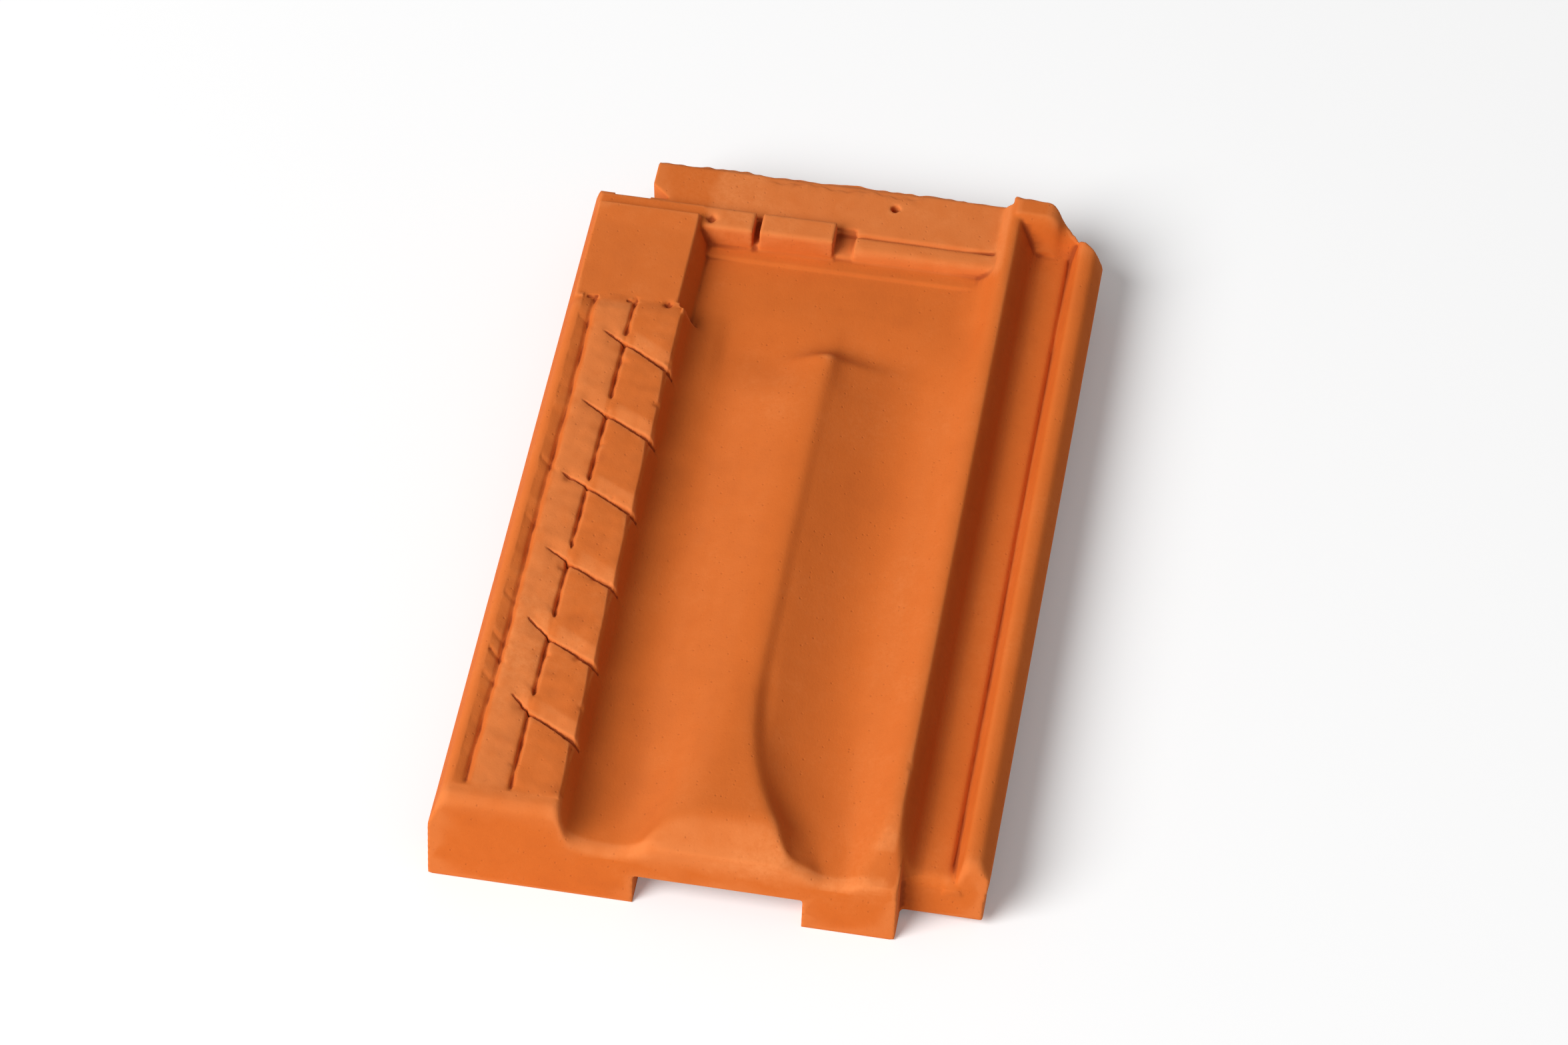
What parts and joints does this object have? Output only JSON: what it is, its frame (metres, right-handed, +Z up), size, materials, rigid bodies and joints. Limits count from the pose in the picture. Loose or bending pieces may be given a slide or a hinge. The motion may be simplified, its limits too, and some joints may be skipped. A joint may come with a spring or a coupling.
{
  "type": "clay roof tile",
  "caption": "Interlocking pressed clay roof tile with a raised shingle-textured cover band, two gutters beside a central ridge, side lock, head ribs, nail hole and batten nibs.",
  "frame": {"origin": "middle of the tile's footprint, on the floor that its nose and batten nibs stand on", "axes": "+Y from the nose to the head, +X from the cover band to the side lock, +Z up from the floor"},
  "size_m": [0.2498, 0.415, 0.046],
  "materials": {
    "fired_clay": "matte unglazed fired clay"
  },
  "bodies": {
    "root": {"roof_tile": "fired_clay"}
  },
  "joints": []
}
